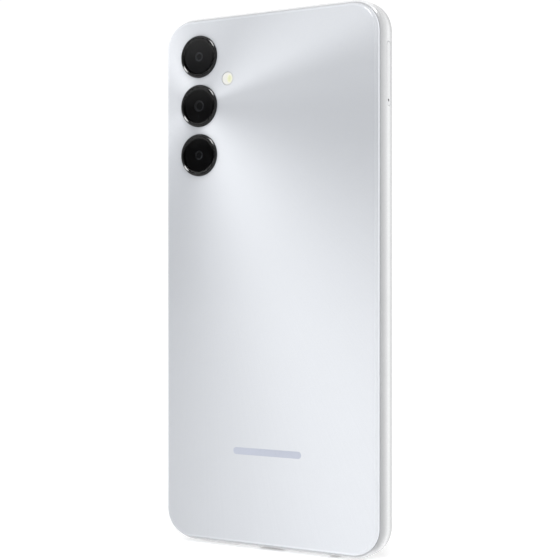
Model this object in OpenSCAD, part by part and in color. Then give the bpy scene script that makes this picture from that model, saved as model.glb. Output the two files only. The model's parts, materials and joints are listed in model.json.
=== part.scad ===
// Slim smartphone with three rear cameras, as the stack of separate pieces that it comes apart into.
// Millimetres. +X is the side with the keys, +Y points out of the back and +Z points to the top edge.
// The origin is the middle of the bottom edge, which the phone stands on.

/* [Body] */
// Width across the side frame
body_w = 77.8; // [77.8:0.1:80]
// Height from the bottom edge to the top edge
body_h = 168; // [168:0.5:172]
// Thickness from the front glass to the back cover, without the camera rings
body_t = 8.8; // [8.8:0.1:9.6]
// Corner radius of the side frame, seen from the back
corner_r = 10; // [9:0.5:12]
// How far the side frame curves in where it meets the back cover
seam_inset = 1.15; // [1:0.05:1.25]
// Drop of the back cover's rounded shoulder from the back face to the seam
shoulder_drop = 2.15; // [2.1:0.05:2.2]

/* [Rear cameras] */
// Outer radius of a camera ring
ring_r = 6.7; // [6:0.1:6.9]
// How far a ring stands out of the back cover
ring_rise = 0.9; // [0.6:0.1:1.2]
// Distance of the ring centres from the phone's centre line
camera_x = 25; // [24.5:0.1:25.4]
// Distance of the upper ring's centre from the top edge
camera_top = 13; // [12.6:0.1:13.4]
// Distance between neighbouring ring centres
camera_pitch = 15.7; // [15.4:0.1:16]
// Travel of the middle camera's lens barrel when it focuses
focus_travel = 0.3; // [0.2:0.05:0.35]
// Radius of the flash window
flash_r = 2.1; // [1.8:0.1:2.2]

/* [Card tray] */
// Length of the tray's face along the side of the phone
tray_face_l = 19.2; // [18.8:0.1:19.6]
// Distance of the face's upper end from the top edge
tray_top = 13; // [12.8:0.1:13.4]
// Thickness of the tray's plate
tray_plate_t = 0.95; // [0.8:0.05:1]
// Travel of the eject rod when a pin is pushed in
rod_travel = 1.6; // [1.2:0.1:1.6]

/* [Keys] */
// Length of the volume key
volume_l = 22; // [18:0.5:23]
// Length of the power key
power_l = 14; // [12:0.5:15]
// Width of both keys across the side
key_w = 2.3; // [2:0.1:2.4]
// How far the volume key stands out of the side
key_rise = 0.45; // [0.3:0.05:0.6]

/* [Display] */
// Width of the lit area
screen_w = 69.8; // [69:0.1:69.9]
// Height of the lit area
screen_h = 155.2; // [154:0.1:155.4]
// Border between the lit area and the top edge of the phone
screen_top = 4.4; // [4.2:0.1:4.8]
// Distance of the front camera's centre from the top edge
selfie_top = 6.8; // [6.6:0.1:7]

/* [Ports] */
// Radius of the headphone jack's bore
jack_r = 1.75; // [1.75:0.01:1.8]
// Depth of the headphone jack's bore, from the bottom edge
jack_depth = 14.9; // [14.5:0.1:15]
// Distance of the headphone jack from the phone's centre line
jack_x = -22; // [-22.4:0.1:-21.6]
// Radius of the speaker's holes
grille_r = 0.6; // [0.4:0.05:0.7]

/* [Hidden] */
$fn = 48;
eps = 0.01;
fit = 0.05;

// Depths of the layers, from the front glass to the back cover
front_y = -body_t / 2;
back_y = body_t / 2;
glass_y1 = front_y + 0.75;
cell_y1 = glass_y1 + 0.9;
backlight_y1 = cell_y1 + 0.75;
plate_y0 = backlight_y1 + 0.05;
plate_y1 = plate_y0 + 0.6;
sheet_y1 = plate_y1 + 0.1;
board_y0 = plate_y1 + 1.7;
board_y1 = board_y0 + 0.75;
bracket_y0 = back_y - 1.7;
bracket_y1 = back_y - 1;
cover_in_y = back_y - 0.9;
seam_y = back_y - shoulder_drop;
ring_y1 = back_y + ring_rise;
barrel_r = 3.45;

// Insets from the side frame's outline
glass_inset = 1.35;
ledge_inset = 3;
wall_inset = 2.6;
shoulder_inset = seam_inset + 0.8;

// Lines that the side features share
slot_y = front_y + 2.9;
port_y = plate_y1 + 1.65;
side_x = body_w / 2;
wall_x = side_x - wall_inset;

// Centres of the rear cameras, top to bottom, as [x, z]
camera_at = [for (i = [0:2]) [camera_x, body_h - camera_top - i * camera_pitch]];
flash_at = [14.4, body_h - 20.7];
selfie_at = [0, body_h - selfie_top];
receiver_at = [-13, body_h - 7.4];
motor_at = [-30.4, 12];

// Screw posts behind the upper and the lower bracket, as [x, z]
upper_posts = [
    [-33, body_h - 7.4], [9.5, body_h - 6.2], [33.2, body_h - 6.8], [34.3, body_h - 28.7],
    [-33.6, body_h - 44], [5.6, body_h - 49], [33.4, body_h - 50]
];
lower_posts = [[-33.4, 22.6], [-14.8, 21.6], [5.4, 21.6], [-13.4, 6.6]];
post_r = 1.5;
post_foot_r = 2;
post_bore_r = 0.6;
screw_r = 0.55;
screw_head_r = 1.25;
screw_head_y0 = bracket_y1 - 0.45;

// Card tray, its face first and then its plate
tray_z1 = body_h - tray_top;
tray_z0 = tray_z1 - tray_face_l;
tray_face_t = 1;
tray_face_w = 2.4;
tray_gap = 0.08;
tray_plate_z0 = tray_z0 + 2.6;
tray_plate_z1 = tray_z1 - tray_face_w / 2 - 0.2;
tray_plate_y0 = plate_y1 + 0.1;
tray_plate_y1 = tray_plate_y0 + tray_plate_t;
tray_end_x = -0.6;
card_z = (tray_plate_z0 + tray_plate_z1) / 2;
nano_card = [8.9, 12.4];
memory_card = [15.1, 11.1];
pin_z = tray_z0 + 1.65;
pin_r = 0.45;
pin_y = slot_y + 0.1;

// Ejector: a pin pushes the rod, the rod turns the lever, and the lever's other arm drives the slide
rod_y = slot_y + 0.5;
rod_r = 0.4;
rod_end_x = 1.65;
lever_x = 2.4;
lever_short = 5.1;
lever_long = 6;
lever_z = pin_z + lever_short;
lever_t = 0.5;
lever_w = 1.2;
lever_pin_r = 0.5;
slide_x = tray_end_x + fit;

// Keys and the switches behind them
volume_z = body_h - 46;
power_z = body_h - 70.5;
key_in_x = side_x - 1.15;
key_pocket_x = side_x - 1.7;
key_post_y = plate_y1 + 0.95;
key_post_x = wall_x - 0.25;
volume_post_z = 6.5;
dome_x = key_post_x - fit;
dome_t = 0.55;
key_flex_x = dome_x - dome_t;

// Lower pieces
usb_w = 9;
usb_h = 3.2;
usb_wall = 0.3;
sub_z1 = 25;
speaker_x0 = 9;
speaker_x1 = side_x - 3.3;
speaker_z1 = 25.5;
speaker_driver_at = [21, 16.5];
grille_x0 = 13.5;
grille_pitch = 2.2;
grille_holes = 6;
flex_slot_z = 26.6;
flex_x = [-11.8, -7.8];
battery_x = [-32.6, 33.4];
battery_z = [27.5, body_h - 54];

// ---- Shared shapes ----

// Extrudes a drawing of x and z along Y, from y0 to y1.
module along_y(y0, y1) {
    translate([0, y1, 0]) rotate([90, 0, 0]) linear_extrude(y1 - y0) children();
}

// A box between two corners.
module block(x, y, z) {
    translate([x[0], y[0], z[0]]) cube([x[1] - x[0], y[1] - y[0], z[1] - z[0]]);
}

// A box of a given size, centred on [x, z].
module plate_at(at, w, h, y0, y1) {
    block([at[0] - w / 2, at[0] + w / 2], [y0, y1], [at[1] - h / 2, at[1] + h / 2]);
}

// A round disc or peg along Y, centred on [x, z].
module disc_at(at, r, y0, y1) {
    translate([at[0], y1, at[1]]) rotate([90, 0, 0]) cylinder(r = r, h = y1 - y0);
}

module rounded_rect(w, h, r) {
    square([w - 2 * r, h], center = true);
    square([w, h - 2 * r], center = true);
    for (sx = [-1, 1], sz = [-1, 1]) translate([sx * (w / 2 - r), sz * (h / 2 - r)]) circle(r);
}

// The phone's outline, drawn in by an inset.
module outline(inset) {
    translate([0, body_h / 2]) rounded_rect(body_w - 2 * inset, body_h - 2 * inset, corner_r - inset);
}

module slab(inset, y0, y1) {
    along_y(y0, y1) outline(inset);
}

// A slot with round ends. It is long along Z, w wide along Y, and cut from x0 to x1.
module side_slot(z0, z1, y, w, x0, x1) {
    r = w / 2;
    translate([x0, y, 0]) {
        translate([0, -r, z0 + r]) cube([x1 - x0, w, z1 - z0 - w]);
        for (z = [z0 + r, z1 - r]) translate([0, 0, z]) rotate([0, 90, 0]) cylinder(r = r, h = x1 - x0);
    }
}

// A slot with round ends. It is long along X, w wide along Y, and runs from z0 to z1.
module end_slot(x, l, y, w, z0, z1) {
    r = w / 2;
    translate([x, y, z0]) {
        translate([-l / 2 + r, -r, 0]) cube([l - w, w, z1 - z0]);
        for (s = [-1, 1]) translate([s * (l / 2 - r), 0, 0]) cylinder(r = r, h = z1 - z0);
    }
}

// Points of a quarter of an ellipse from (u0, v0) to (u1, v1), leaving v0 along the v axis.
function quarter(u0, v0, u1, v1, steps = 6) =
    [for (i = [0:steps]) let (a = 90 * i / steps)
        [u0 + (u1 - u0) * (1 - cos(a)), v0 + (v1 - v0) * sin(a)]];

// Sweeps a section round the phone's outline. Its points are [inset, y].
module sweep_round(section) {
    straight_x = body_w / 2 - corner_r;
    for (m = [0, 1]) mirror([m, 0, 0])
        translate([0, 0, corner_r]) linear_extrude(body_h - 2 * corner_r)
            polygon([for (p = section) [body_w / 2 - p[0], p[1]]]);
    for (m = [0, 1]) translate([0, 0, m * body_h]) mirror([0, 0, m])
        translate([-straight_x, 0, 0]) rotate([0, 90, 0]) linear_extrude(2 * straight_x)
            polygon([for (p = section) [-p[0], p[1]]]);
    for (mx = [0, 1], mz = [0, 1]) mirror([mx, 0, 0]) translate([0, 0, mz * body_h]) mirror([0, 0, mz])
        translate([straight_x, 0, corner_r]) rotate([-90, 0, 0]) rotate_extrude(angle = 90)
            polygon([for (p = section) [corner_r - p[0], p[1]]]);
}

// ---- Shell ----

// The side frame's outer curve, from its front lip to the seam with the back cover.
front_curve = quarter(0, front_y + 0.9, 0.75, front_y + 0.05, 5);
back_curve = quarter(0, front_y + 4.7, seam_inset, seam_y, 7);
frame_section = concat(
    [for (i = [len(front_curve) - 1:-1:0]) front_curve[i]],
    back_curve,
    [
        [wall_inset, seam_y], [wall_inset, plate_y0], [ledge_inset, plate_y0],
        [ledge_inset, glass_y1 + 0.15], [glass_inset - 0.1, glass_y1 + 0.15],
        [glass_inset - 0.1, front_y + 0.05]
    ]
);

module side_openings() {
    // Volume and power keys
    for (k = [[volume_z, volume_l], [power_z, power_l]])
        side_slot(k[0] - k[1] / 2 - 0.15, k[0] + k[1] / 2 + 0.15, slot_y, key_w + 0.2,
            key_pocket_x, side_x + 1);
    for (z = [volume_z - volume_post_z, volume_z + volume_post_z, power_z])
        block([wall_x - 1, side_x - 0.6], [key_post_y - 0.6, key_post_y + 0.6], [z - 1.15, z + 1.15]);
    // Card tray: the face's pocket, the plate's slot and the pin's hole
    side_slot(tray_z0 - tray_gap, tray_z1 + tray_gap, slot_y, tray_face_w + 2 * tray_gap,
        -side_x - 1, -side_x + tray_face_t + fit);
    block(
        [-side_x, -wall_x + 1], [tray_plate_y0 - 0.08, tray_plate_y1 + 0.08],
        [tray_plate_z0 - 0.1, tray_plate_z1 + 0.1]
    );
    translate([-side_x, pin_y, pin_z]) rotate([0, 90, 0]) cylinder(r = pin_r + 0.1, h = wall_inset + 1);
}

module end_openings() {
    end_slot(0, usb_w + 0.1, port_y, usb_h + 0.1, -1, wall_inset + 1);
    translate([jack_x, port_y, -1]) cylinder(r = jack_r, h = wall_inset + 2);
    translate([-9.5, port_y, -1]) cylinder(r = 0.5, h = wall_inset + 2);
    for (i = [0:grille_holes - 1])
        translate([grille_x0 + i * grille_pitch, port_y, -1]) cylinder(r = grille_r, h = wall_inset + 2);
    translate([12, port_y, body_h - wall_inset - 1]) cylinder(r = 0.5, h = wall_inset + 2);
}

module side_frame() {
    color("whitesmoke") difference() {
        union() sweep_round(frame_section);
        side_openings();
        end_openings();
        // Sound slot in front of the earpiece
        block([-6, 6], [front_y - 1, glass_y1 + 0.15], [body_h - 2.1, body_h - 1.4]);
        block([-5, -1], [glass_y1, plate_y1 + 0.8], [body_h - ledge_inset, body_h - 1.7]);
    }
}

module mid_plate() {
    posts = concat(upper_posts, lower_posts);
    color("silver") difference() {
        union() {
            slab(wall_inset, plate_y0, plate_y1);
            for (p = posts) {
                disc_at(p, post_r, plate_y0 + 0.2, bracket_y0);
                // Feet that the boards rest on
                if (p[0] < 17) disc_at(p, post_foot_r, plate_y0 + 0.2, board_y0);
            }
        }
        for (p = posts) disc_at(p, post_bore_r, plate_y0 + 0.2, bracket_y0 + 1);
        disc_at(selfie_at, 2.9, plate_y0 - 1, plate_y1 + 1);
        plate_at([jack_x, 9], 6.6, 14, plate_y0 - 1, plate_y1 + 1);
        plate_at(receiver_at, 9, 2, plate_y0 - 1, plate_y1 + 1);
        plate_at([7, body_h - 4.4], 2.4, 1.4, plate_y0 - 1, plate_y1 + 1);
        // Recess and slot for the display's flex
        block([-12.2, 6.2], [plate_y0 - 1, plate_y0 + 0.16], [0, 9.4]);
        block([flex_x[0] - 0.3, flex_x[1] + 0.3], [plate_y0 - 1, plate_y0 + 0.16], [9, flex_slot_z]);
        block([flex_x[0] - 0.3, flex_x[1] + 0.3], [plate_y0 - 1, plate_y1 + 1],
            [flex_slot_z - 0.3, flex_slot_z + 0.3]);
        // Groove for the eject pin and its rod
        block([-side_x, -wall_x + 3], [pin_y - pin_r - 0.05, plate_y1 + 1],
            [pin_z - pin_r - 0.1, pin_z + pin_r + 0.1]);
        block([-wall_x, rod_end_x + rod_travel + 0.2], [rod_y - rod_r - 0.05, plate_y1 + 1],
            [pin_z - rod_r - 0.05, pin_z + rod_r + 0.05]);
    }
}

module cover_glass() {
    color("black") difference() {
        union() {
            slab(glass_inset + 0.2, front_y, front_y + 0.2 + eps);
            slab(glass_inset, front_y + 0.2, glass_y1);
        }
        block([-6, 6], [front_y - 1, glass_y1 + 1], [body_h - 2.1, body_h]);
    }
}

module display_adhesive() {
    color("dimgray") difference() {
        slab(glass_inset + 0.2, glass_y1, glass_y1 + 0.15);
        slab(ledge_inset - 0.05, glass_y1 - 1, glass_y1 + 1);
        block([-6, 6], [glass_y1 - 1, glass_y1 + 1], [body_h - 3.2, body_h]);
    }
}

lcd_z1 = body_h - screen_top + 0.8;
lcd_z0 = body_h - screen_top - screen_h - 3;
lcd_w = screen_w + 1.2;
lcd_r = 6.5;
module lcd_outline(grow = 0) {
    translate([0, (lcd_z0 + lcd_z1) / 2])
        rounded_rect(lcd_w + 2 * grow, lcd_z1 - lcd_z0 + 2 * grow, lcd_r + grow);
}

module lcd_notch() {
    disc_at(selfie_at, 2.9, front_y - 1, plate_y0 + 1);
    plate_at([0, selfie_at[1] + 4], 5.8, 8, front_y - 1, plate_y0 + 1);
}

module lcd_cell() {
    color("midnightblue") difference() {
        along_y(glass_y1, cell_y1) lcd_outline();
        lcd_notch();
    }
}

module backlight_unit() {
    color("white") difference() {
        along_y(cell_y1, backlight_y1) lcd_outline(-0.3);
        lcd_notch();
    }
}

// A ribbon that turns square corners. Its path is a list of [z, y] points, and x is its two edges.
module stepped_ribbon(path, x, t) {
    for (i = [0:len(path) - 2]) let (a = path[i], b = path[i + 1]) block(
        x,
        [min(a[1], b[1]) - t / 2, max(a[1], b[1]) + t / 2],
        [min(a[0], b[0]) - t / 2, max(a[0], b[0]) + t / 2]
    );
}

module display_flex() {
    // Leaves the cell's lower edge, runs up the front of the mid plate, and goes through it to the sub board
    under = plate_y0 + 0.06;
    over = board_y1 + 0.76;
    color("darkorange") {
        stepped_ribbon(
            [[lcd_z0 - 0.06, cell_y1 - 0.2], [lcd_z0 - 0.8, cell_y1 - 0.2], [lcd_z0 - 0.8, under],
                [9, under]],
            [-12, 6], 0.12
        );
        stepped_ribbon([[9, under], [flex_slot_z, under], [flex_slot_z, over], [22.6, over]], flex_x, 0.12);
    }
}

// ---- Top of the front ----

module front_camera() {
    color("black") difference() {
        union() {
            plate_at(selfie_at, 6.4, 6.4, plate_y1, plate_y1 + 2.9);
            disc_at(selfie_at, 2.6, glass_y1 + 0.1, plate_y1);
        }
        disc_at(selfie_at, 1.6, glass_y1 - 1, glass_y1 + 0.5);
    }
}

module earpiece_grille() {
    color("darkslategray") difference() {
        block([-5.9, 5.9], [front_y + 0.3, glass_y1 + 0.15], [body_h - 2, body_h - 1.5]);
        for (i = [-7:7])
            block([i * 0.75 - 0.2, i * 0.75 + 0.2], [front_y, glass_y1 + 1], [body_h - 1.88, body_h - 1.62]);
    }
}

module receiver_body() {
    color("gray") difference() {
        plate_at(receiver_at, 12, 5.6, plate_y1, plate_y1 + 2.4);
        plate_at(receiver_at, 11, 4.8, plate_y1 - 1, plate_y1 + 0.8);
    }
}

module receiver_diaphragm() {
    color("gainsboro") plate_at(receiver_at, 10.6, 4.4, plate_y1 + 0.3, plate_y1 + 0.45);
}

module light_sensor() {
    color("black") plate_at([7, body_h - 4.4], 2, 1, plate_y0 + 0.05, board_y0);
}

// ---- Back cover ----

module back_cover() {
    shoulder = quarter(seam_inset + fit, seam_y + 0.1, shoulder_inset, back_y, 8);
    color("lightsteelblue") difference() {
        union() {
            sweep_round(concat(shoulder, [[ledge_inset, back_y], [ledge_inset, cover_in_y],
                [wall_inset, cover_in_y], [wall_inset, seam_y + 0.1]]));
            slab(ledge_inset - eps, cover_in_y, back_y);
        }
        for (c = camera_at) disc_at(c, ring_r + fit, cover_in_y - 1, back_y + 1);
        disc_at(flash_at, flash_r + fit, cover_in_y - 1, back_y + 1);
    }
}

module back_cover_adhesive() {
    color("dimgray") difference() {
        slab(seam_inset + 0.3, seam_y, seam_y + 0.1);
        slab(wall_inset - 0.1, seam_y - 1, seam_y + 1);
    }
}

module camera_ring(at) {
    color("black") translate([at[0], 0, at[1]]) rotate([-90, 0, 0]) rotate_extrude()
        polygon(concat(
            [[ring_r + 0.7, cover_in_y - 0.35], [ring_r + 0.7, cover_in_y], [ring_r, cover_in_y]],
            [[ring_r, ring_y1 - 0.25], [ring_r - 0.25, ring_y1]],
            [[ring_r - 0.45, ring_y1], [ring_r - 0.65, ring_y1 - 0.2]],
            [[ring_r - 0.65, back_y + 0.15], [ring_r - 1.5, back_y + 0.15], [ring_r - 1.5, cover_in_y - 0.35]]
        ));
}

module lens_glass(at) {
    color([0.1, 0.1, 0.12, 0.6]) disc_at(at, ring_r - 0.7, back_y + 0.15, ring_y1 - 0.2);
}

module main_camera_housing() {
    color("dimgray") difference() {
        plate_at(camera_at[1], 9.6, 9.6, plate_y1, cover_in_y - 0.45);
        disc_at(camera_at[1], barrel_r + fit, plate_y1 + 1.1, back_y);
    }
}

module main_camera_barrel() {
    at = camera_at[1];
    color("black") difference() {
        disc_at(at, barrel_r, plate_y1 + 1.2, back_y - focus_travel - 0.05);
        disc_at(at, 1.7, back_y - 0.85, back_y);
    }
}

module small_camera(at) {
    color("black") difference() {
        union() {
            plate_at(at, 6.6, 6.6, plate_y1, plate_y1 + 3.2);
            disc_at(at, 2.5, plate_y1 + 3.2, back_y - 0.2);
        }
        disc_at(at, 1.2, back_y - 0.7, back_y);
    }
}

module flash_lens() {
    color("ivory") {
        disc_at(flash_at, flash_r, cover_in_y, back_y);
        disc_at(flash_at, flash_r + 0.6, cover_in_y - 0.25, cover_in_y);
    }
}

module flash_led() {
    color("gold") {
        plate_at(flash_at, 3, 3, cover_in_y - 0.95, cover_in_y - 0.3);
        plate_at(flash_at, 3.6, 3.6, board_y1, cover_in_y - 0.95);
    }
}

// ---- Main board ----

module main_board() {
    z0 = body_h - 51;
    color("darkgreen") difference() {
        intersection() {
            block([-side_x, 17], [board_y0, board_y1], [z0, body_h]);
            slab(wall_inset + 0.4, board_y0 - 1, board_y1 + 1);
        }
        for (p = upper_posts) disc_at(p, post_r + 0.2, board_y0 - 1, board_y1 + 1);
        plate_at([selfie_at[0], selfie_at[1] + 3], 7.2, 14, board_y0 - 1, board_y1 + 1);
        plate_at([receiver_at[0], receiver_at[1] + 3], 12.6, 12.2, board_y0 - 1, board_y1 + 1);
        // Coaxial cable's way past the board's lower corner
        block([-side_x, -32.2], [board_y0 - 1, board_y1 + 1], [z0 - 1, z0 + 5.5]);
    }
}

module main_board_chips() {
    color("black") {
        plate_at([-2, body_h - 34], 12, 12, board_y1, board_y1 + 0.9);
        plate_at([-24, body_h - 38], 9, 11, board_y1, board_y1 + 0.8);
        plate_at([-24, body_h - 23], 6, 6, board_y1, board_y1 + 0.7);
        plate_at([-20, body_h - 41], 6, 5, board_y0 - 0.7, board_y0);
        plate_at([2, body_h - 39], 5, 5, board_y0 - 0.7, board_y0);
    }
}

// A shield can: a thin lid and four walls over the board.
module shield_can(at, w, h, y0, y1, open_y) {
    t = 0.2;
    difference() {
        plate_at(at, w, h, y0, y1);
        plate_at(at, w - 2 * t, h - 2 * t, open_y < 0 ? y0 + t : y0 - 1, open_y < 0 ? y1 + 1 : y1 - t);
    }
}

module shield_cans() {
    color("silver") {
        shield_can([-2, body_h - 33], 18, 22, board_y1, board_y1 + 1.3, 1);
        shield_can([-24, body_h - 31], 15, 28, board_y1, board_y1 + 1.3, 1);
        shield_can([-11, body_h - 40.5], 40, 13, board_y0 - 1.3, board_y0, -1);
    }
}

module board_connectors() {
    color("tan") {
        // Main flex, battery and camera sockets on the main board
        plate_at([-2, body_h - 47], 9, 2.2, board_y1, board_y1 + 0.7);
        plate_at([12, body_h - 47.5], 5, 2.2, board_y1, board_y1 + 0.7);
        for (i = [0:2]) plate_at([13.5, body_h - 30 - i * 5], 2.2, 4, board_y1, board_y1 + 0.7);
        // Main flex and display sockets on the sub board
        plate_at([-3.5, 18.5], 9, 2.2, board_y1, board_y1 + 0.7);
        plate_at([(flex_x[0] + flex_x[1]) / 2, 23.4], 3.8, 2.2, board_y1, board_y1 + 0.7);
    }
}

module upper_bracket() {
    color("dimgray") difference() {
        intersection() {
            block([-side_x, side_x], [bracket_y0, bracket_y1], [body_h - 53, body_h]);
            slab(wall_inset + 0.15, bracket_y0 - 1, bracket_y1 + 1);
        }
        block([camera_x - 8, camera_x + 7.9], [bracket_y0 - 1, bracket_y1 + 1],
            [camera_at[2][1] - 7.9, camera_at[0][1] + 7.9]);
        disc_at(flash_at, flash_r + 0.8, bracket_y0 - 1, bracket_y1 + 1);
        for (p = upper_posts) {
            disc_at(p, post_bore_r, bracket_y0 - 1, bracket_y1 + 1);
            disc_at(p, screw_head_r + 0.15, screw_head_y0, bracket_y1 + 1);
        }
        plate_at([-2, body_h - 52], 14, 3, bracket_y0 - 1, bracket_y1 + 1);
        plate_at([12, body_h - 52], 8, 4, bracket_y0 - 1, bracket_y1 + 1);
    }
}

// ---- Card tray and ejector ----

module sim_socket() {
    // A stamped shell on the front face of the board. It holds the tray's channel, the rod's guide
    // and the lever's pivot.
    x0 = -wall_x + 0.15;
    x1 = -1.5;
    color("silver") {
        difference() {
            block([x0, x1], [plate_y1, board_y0], [pin_z - 0.8, tray_plate_z1 + 0.35]);
            block([x0 - 1, x1 + 1], [tray_plate_y0 - 0.06, tray_plate_y1 + 0.06],
                [tray_plate_z0 - 0.08, tray_plate_z1 + 0.08]);
            translate([x0 - 1, rod_y, pin_z]) rotate([0, 90, 0]) cylinder(r = rod_r + fit, h = x1 - x0 + 2);
        }
        block([x1 - eps, lever_x + 1.5], [board_y0 - 0.2, board_y0], [pin_z - 0.8, tray_plate_z1]);
        disc_at([lever_x, lever_z], lever_pin_r, plate_y1 + 0.05, board_y0 - 0.2 + eps);
    }
}

module sim_tray() {
    face_in = -side_x + tray_face_t;
    // Card wells: the x of each well's outer edge and its size
    wells = [
        [face_in + 3, nano_card], [face_in + 3.8 + nano_card[0], nano_card],
        [face_in + 4.6 + 2 * nano_card[0], memory_card]
    ];
    color("whitesmoke") difference() {
        union() {
            side_slot(tray_z0, tray_z1, slot_y, tray_face_w, -side_x, face_in);
            block([face_in - eps, tray_end_x], [tray_plate_y0, tray_plate_y1],
                [tray_plate_z0, tray_plate_z1]);
        }
        translate([-side_x - 1, pin_y, pin_z]) rotate([0, 90, 0]) cylinder(r = pin_r, h = tray_face_t + 2);
        for (w = wells) {
            block(
                [w[0], w[0] + w[1][0]], [tray_plate_y0 + 0.2, tray_plate_y1 + 1],
                [card_z - w[1][1] / 2, card_z + w[1][1] / 2]
            );
            block(
                [w[0] + 1, w[0] + w[1][0] - 1], [tray_plate_y0 - 1, tray_plate_y1 + 1],
                [card_z - w[1][1] / 2 + 1.2, card_z + w[1][1] / 2 - 1.2]
            );
        }
    }
}

module eject_rod() {
    color("silver") translate([-wall_x + 0.6, rod_y, pin_z]) rotate([0, 90, 0])
        cylinder(r = rod_r, h = wall_x - 0.6 + rod_end_x);
}

module eject_lever() {
    y0 = rod_y - lever_t / 2;
    y1 = rod_y + lever_t / 2;
    color("gold") difference() {
        union() {
            disc_at([lever_x, lever_z], 1.1, y0, y1);
            block([lever_x - lever_w / 2, lever_x + lever_w / 2], [y0, y1],
                [lever_z - lever_short - 0.6, lever_z + lever_long]);
        }
        disc_at([lever_x, lever_z], lever_pin_r + fit, y0 - 1, y1 + 1);
    }
}

module eject_slide() {
    // Stands between the tray's inner end and the lever's long arm
    tip_z = lever_z + lever_long;
    color("silver") {
        block([slide_x, slide_x + 0.6], [tray_plate_y0, tray_plate_y1], [tip_z - 3, tip_z + 3]);
        block([slide_x + 0.6 - eps, lever_x - lever_w / 2 - 0.1], [tray_plate_y0, tray_plate_y1],
            [tip_z - 1.4, tip_z - 0.2]);
    }
}

// ---- Battery and cables ----

module battery() {
    color("dimgray") {
        block(battery_x, [sheet_y1, cover_in_y - 0.45], battery_z);
        block([battery_x[0] + 3, battery_x[1] - 3], [sheet_y1 + 0.6, sheet_y1 + 2.6],
            [battery_z[1] - eps, battery_z[1] + 1.6]);
    }
}

module battery_adhesive() {
    color("white") for (s = [-1, 1])
        block([s * 18 - 6, s * 18 + 6], [plate_y1, sheet_y1], [battery_z[0] + 3, battery_z[1] - 6]);
}

// A flat ribbon whose path is a list of [z, y] points. x is its two edges.
module ribbon(path, x, t) {
    back = [for (i = [len(path) - 1:-1:0]) path[i] + [0, t]];
    translate([x[1], 0, 0]) rotate([0, -90, 0]) linear_extrude(x[1] - x[0]) polygon(concat(path, back));
}

module battery_flex() {
    top = battery_z[1] + 1.6;
    color("darkorange") ribbon(
        [[top, sheet_y1 + 2], [top + 1.4, board_y1 + 0.72], [body_h - 46.5, board_y1 + 0.72]],
        [9.7, 14.3], 0.12
    );
}

module main_flex() {
    over = cover_in_y - 0.42;
    on_socket = board_y1 + 0.72;
    color("darkorange") ribbon(
        [
            [17.5, on_socket], [22, on_socket], [26.5, over], [battery_z[1] + 0.5, over],
            [battery_z[1] + 4, on_socket], [body_h - 46, on_socket]
        ],
        [-6, 1], 0.12
    );
}

module coax_cable() {
    r = 0.4;
    bend = 2;
    x = -34.6;
    y = board_y1 + 0.5;
    z0 = 27;
    z1 = body_h - 49;
    color("black") {
        translate([x, y, z0]) cylinder(r = r, h = z1 - z0);
        // Round the two bends and into the plugs
        for (m = [0, 1]) translate([x + bend, y, m ? z1 : z0]) mirror([0, 0, m ? 0 : 1]) {
            rotate([90, 0, 0]) rotate([0, 0, 90]) rotate_extrude(angle = 90) translate([bend, 0]) circle(r);
            translate([0, 0, bend]) rotate([0, 90, 0]) cylinder(r = r, h = m ? 2.6 : 8.2);
        }
        translate([x + bend + 2.6, y + 0.5, z1 + bend]) rotate([90, 0, 0]) cylinder(r = 1, h = 1);
        translate([x + bend + 8.2, y + 0.5, z0 - bend]) rotate([90, 0, 0]) cylinder(r = 1, h = 1);
    }
}

// ---- Bottom end ----

module sub_board() {
    color("darkgreen") difference() {
        block([-26, speaker_x0 - 0.3], [board_y0, board_y1], [4.6, sub_z1 + 1]);
        end_slot(0, usb_w + 0.3, port_y, usb_h + 2, 4, 8.6);
        plate_at([jack_x, 9.4], 7, 13.4, board_y0 - 1, board_y1 + 1);
        for (p = lower_posts) disc_at(p, post_r + 0.2, board_y0 - 1, board_y1 + 1);
    }
}

module usb_shell() {
    color("silver") difference() {
        union() {
            end_slot(0, usb_w, port_y, usb_h, 0.5, 8.2);
            // Solder tabs on the sub board
            block([-usb_w / 2 - 1.5, usb_w / 2 + 1.5], [board_y1, board_y1 + 0.3], [5.2, 7.4]);
        }
        end_slot(0, usb_w - 2 * usb_wall, port_y, usb_h - 2 * usb_wall, 0, 7.8);
    }
}

module usb_tongue() {
    color("black") {
        end_slot(0, 6.7, port_y, 0.7, 2.6, 7.2);
        end_slot(0, usb_w - 2 * usb_wall - 0.04, port_y, usb_h - 2 * usb_wall - 0.04, 7.2 - eps, 7.8);
    }
}

module jack_springs() {
    for (z = [5.5, 8.8, 12.1])
        block([jack_x - 3.5, jack_x - jack_r - 0.05], [port_y - 0.5, port_y + 0.5], [z - 0.5, z + 0.5]);
}

module headphone_jack() {
    color("black") difference() {
        block([jack_x - 3.1, jack_x + 3.1], [port_y - 2.25, port_y + 2.25], [wall_inset, jack_depth + 0.6]);
        translate([jack_x, port_y, wall_inset - 1]) cylinder(r = jack_r, h = jack_depth - wall_inset + 1);
        jack_springs();
    }
}

module jack_contacts() {
    color("gold") jack_springs();
}

module microphones() {
    color("gold") {
        plate_at([-9.5, 6.2], 2.8, 2.4, board_y0 - 1, board_y0);
        plate_at([14, body_h - 5.2], 2.4, 2.6, board_y0 - 1, board_y0);
    }
}

driver_y0 = plate_y1 + 1.6;
driver_y1 = bracket_y1 - 0.5;
driver_size = [15.6, 11.2];

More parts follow.
